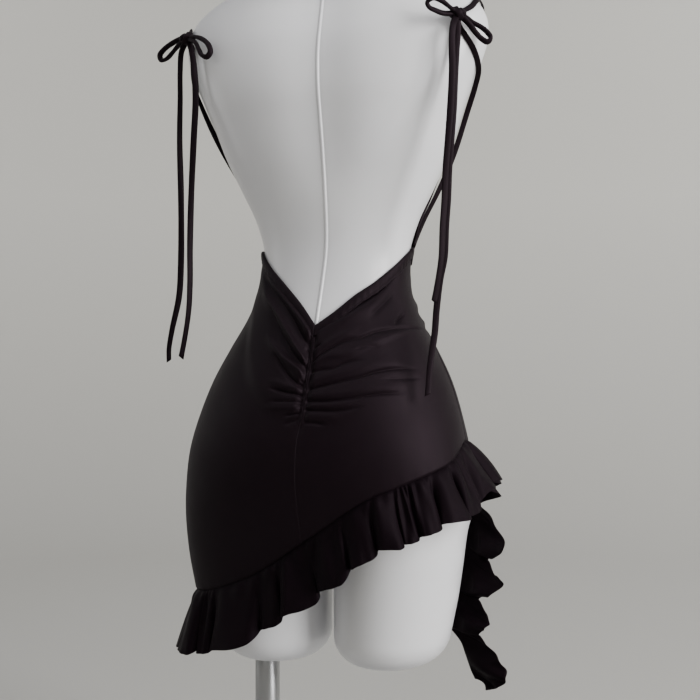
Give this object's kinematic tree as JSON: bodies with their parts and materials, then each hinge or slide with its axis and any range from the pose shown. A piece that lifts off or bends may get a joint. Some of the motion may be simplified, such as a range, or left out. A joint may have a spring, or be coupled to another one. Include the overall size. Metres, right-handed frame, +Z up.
{
  "type": "backless mini dress on limbless dress form",
  "caption": "Dark jersey mini dress with a low V back gathered at its seam, slanted ruffled hem and tied shoulder straps, standing on a limbless torso form with a pole and base plate.",
  "frame": {"origin": "centre of the base plate's underside, on the surface that the stand rests on", "axes": "+Z up; the front of the dress faces -Y; +X is the wearer's left"},
  "size_m": [0.4463, 0.34, 1.165],
  "materials": {
    "black_jersey": "fine stretch jersey, near black, soft sheen on the folds",
    "white_form": "moulded shell, white, satin gloss, one mould line down the centre back",
    "polished_steel": "polished steel tube, ring and plate"
  },
  "bodies": {
    "root": {"back_left": "black_jersey", "back_right": "black_jersey", "front": "black_jersey", "band_back_left": "black_jersey", "band_back_right": "black_jersey", "band_armhole_right": "black_jersey", "band_armhole_left": "black_jersey", "band_neckline": "black_jersey", "ruffle_back": "black_jersey", "ruffle_front": "black_jersey", "cascade": "black_jersey", "strap_front_left": "black_jersey", "strap_front_right": "black_jersey", "strap_side_left": "black_jersey", "strap_side_right": "black_jersey", "knot_left": "black_jersey", "knot_right": "black_jersey", "loop_left_1": "black_jersey", "loop_left_2": "black_jersey", "loop_right_1": "black_jersey", "loop_right_2": "black_jersey", "tie_left_1": "black_jersey", "tie_left_2": "black_jersey", "tie_right_1": "black_jersey", "tie_right_2": "black_jersey", "form": "white_form", "pole": "polished_steel", "foot_ring": "polished_steel", "base_plate": "polished_steel"}
  },
  "joints": []
}
